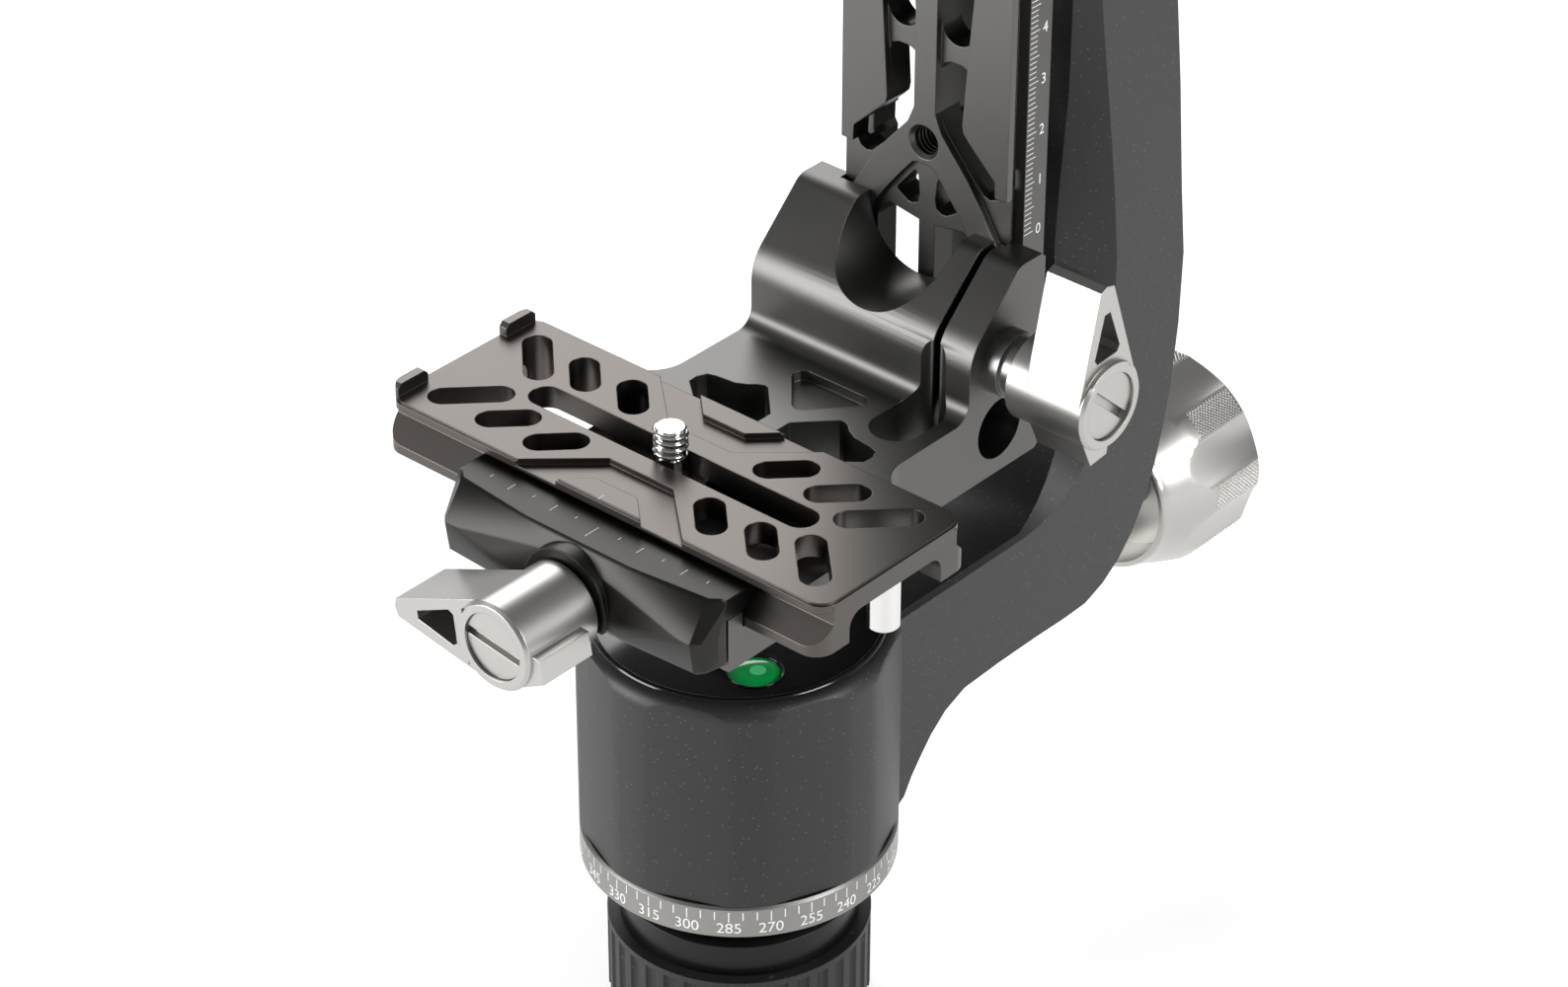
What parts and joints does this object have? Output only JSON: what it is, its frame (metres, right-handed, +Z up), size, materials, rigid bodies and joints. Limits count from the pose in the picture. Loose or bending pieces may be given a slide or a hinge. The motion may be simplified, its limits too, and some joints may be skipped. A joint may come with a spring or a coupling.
{
  "type": "gimbal tripod head",
  "caption": "Gimbal tripod head: turning base, cranked arm, swinging dovetail rail, L-shaped quick-release lens bracket with levers, lock knobs and a slotted camera plate.",
  "frame": {"origin": "centre of the tripod thread's mouth on the underside of the base", "axes": "+Z up along the pan axis, +X along the camera plate, +Y from the hub towards the upright of the cranked arm"},
  "size_m": [0.1034, 0.1957, 0.253],
  "materials": {
    "black_coat": "fine matt powder coat",
    "grip_rubber": "matt",
    "silver_ring": "fine turned",
    "steel": "machined",
    "bright_steel": "polished",
    "glide_plastic": "smooth",
    "gloss_black": "gloss",
    "bubble_green": "gloss, slightly domed",
    "brake_brass": "machined",
    "silver_knob": "satin with a fine knurl",
    "silver_lever": "satin bead-blasted",
    "dark_anodised": "satin dark anodising",
    "gunmetal": "satin gunmetal anodising"
  },
  "bodies": {
    "base": {"base_body": "black_coat", "grip_ring": "grip_rubber", "degree_ring": "silver_ring", "pan_spindle": "steel", "spindle_screws": "steel", "pan_inner_races": "bright_steel", "pan_balls": "bright_steel", "spindle_washer": "steel", "spindle_nut": "steel"},
    "arm": {"main_arm": "black_coat", "pan_outer_races": "bright_steel", "glide_ring": "glide_plastic", "hub_cap": "gloss_black", "bubble_rim": "gloss_black", "bubble_vial": "bubble_green", "tilt_outer_races": "bright_steel", "tilt_cover": "black_coat", "cover_screws": "steel"},
    "pan_brake": {"pan_brake_shoe": "brake_brass"},
    "pan_lock": {"pan_knob": "silver_knob", "pan_knob_stud": "steel", "pan_knob_cap": "gloss_black"},
    "tilt_brake": {"tilt_brake_disc": "brake_brass"},
    "tilt_lock": {"tilt_knob": "silver_knob", "tilt_knob_stud": "steel", "tilt_knob_cap": "gloss_black"},
    "swing": {"swing_rail": "dark_anodised", "tilt_shaft": "steel", "rail_screws": "steel", "tilt_inner_races": "bright_steel", "tilt_balls": "bright_steel", "shaft_washer": "steel", "shaft_nut": "steel", "pivot_cap": "gloss_black", "rail_stop_screws": "steel"},
    "carriage": {"lens_bracket": "dark_anodised", "jaw_guide_pins": "bright_steel", "cheek_pin": "bright_steel"},
    "bracket_clamp": {"bracket_collar": "gloss_black"},
    "bracket_handle": {"bracket_lever": "silver_lever", "bracket_lever_screw": "silver_lever", "bracket_lever_stud": "steel"},
    "jaw": {"clamp_jaw": "dark_anodised", "clamp_washer": "steel"},
    "clamp_handle": {"clamp_lever": "silver_lever", "clamp_lever_screw": "silver_lever", "clamp_lever_stud": "steel"},
    "plate": {"camera_plate": "gunmetal", "plate_stop_pins": "bright_steel"},
    "screw_slide": {"screw_washer": "steel"},
    "camera_screw": {"camera_screw": "bright_steel"}
  },
  "joints": [
    {"name": "pan_turn", "type": "hinge", "parent": "base", "child": "arm", "pos_m": [0, 0, 0.06], "axis": [0, 0, 1], "continuous": true},
    {"name": "pan_brake_slide", "type": "slide", "parent": "arm", "child": "pan_brake", "axis": [0, 1, 0], "range_m": [0, 0.00125]},
    {"name": "pan_lock_turn", "type": "hinge", "parent": "pan_brake", "child": "pan_lock", "pos_m": [0, 0.12, 0.0605], "axis": [0, 1, 0], "range_deg": [0, 361]},
    {"name": "swing_tilt", "type": "hinge", "parent": "arm", "child": "swing", "pos_m": [0, 0.08, 0.226], "axis": [0, 1, 0], "continuous": true},
    {"name": "tilt_brake_slide", "type": "slide", "parent": "arm", "child": "tilt_brake", "axis": [0, 1, 0], "range_m": [0, 0.00125]},
    {"name": "tilt_lock_turn", "type": "hinge", "parent": "tilt_brake", "child": "tilt_lock", "pos_m": [0, 0.12, 0.226], "axis": [0, 1, 0], "range_deg": [0, 361]},
    {"name": "carriage_slide", "type": "slide", "parent": "swing", "child": "carriage", "axis": [0, 0, 1], "range_m": [0, 0.06]},
    {"name": "bracket_clamp_slide", "type": "slide", "parent": "carriage", "child": "bracket_clamp", "axis": [1, 0, 0], "range_m": [0, 0.0004]},
    {"name": "bracket_lever_turn", "type": "hinge", "parent": "bracket_clamp", "child": "bracket_handle", "pos_m": [0.04, 0.042, 0.1304], "axis": [1, 0, 0], "range_deg": [0, 181]},
    {"name": "jaw_slide", "type": "slide", "parent": "carriage", "child": "jaw", "axis": [0, -1, 0], "range_m": [0, 0.0015]},
    {"name": "clamp_lever_turn", "type": "hinge", "parent": "jaw", "child": "clamp_handle", "pos_m": [0, -0.053, 0.1113], "axis": [0, -1, 0], "range_deg": [0, 676]},
    {"name": "plate_slide", "type": "slide", "parent": "carriage", "child": "plate", "axis": [1, 0, 0], "range_m": [-0.007, 0.012]},
    {"name": "screw_slide_x", "type": "slide", "parent": "plate", "child": "screw_slide", "axis": [1, 0, 0], "range_m": [-0.026, 0.026]},
    {"name": "camera_screw_turn", "type": "hinge", "parent": "screw_slide", "child": "camera_screw", "pos_m": [-0.0033, -0.0137, 0.121], "axis": [0, 0, 1], "continuous": true}
  ],
  "couplings": [
    {"joint": "pan_lock_turn", "follows": "pan_brake_slide", "rad_per_m": 5026.5},
    {"joint": "tilt_lock_turn", "follows": "tilt_brake_slide", "rad_per_m": 5026.5},
    {"joint": "bracket_lever_turn", "follows": "bracket_clamp_slide", "rad_per_m": 7854},
    {"joint": "clamp_lever_turn", "follows": "jaw_slide", "rad_per_m": 7854}
  ]
}
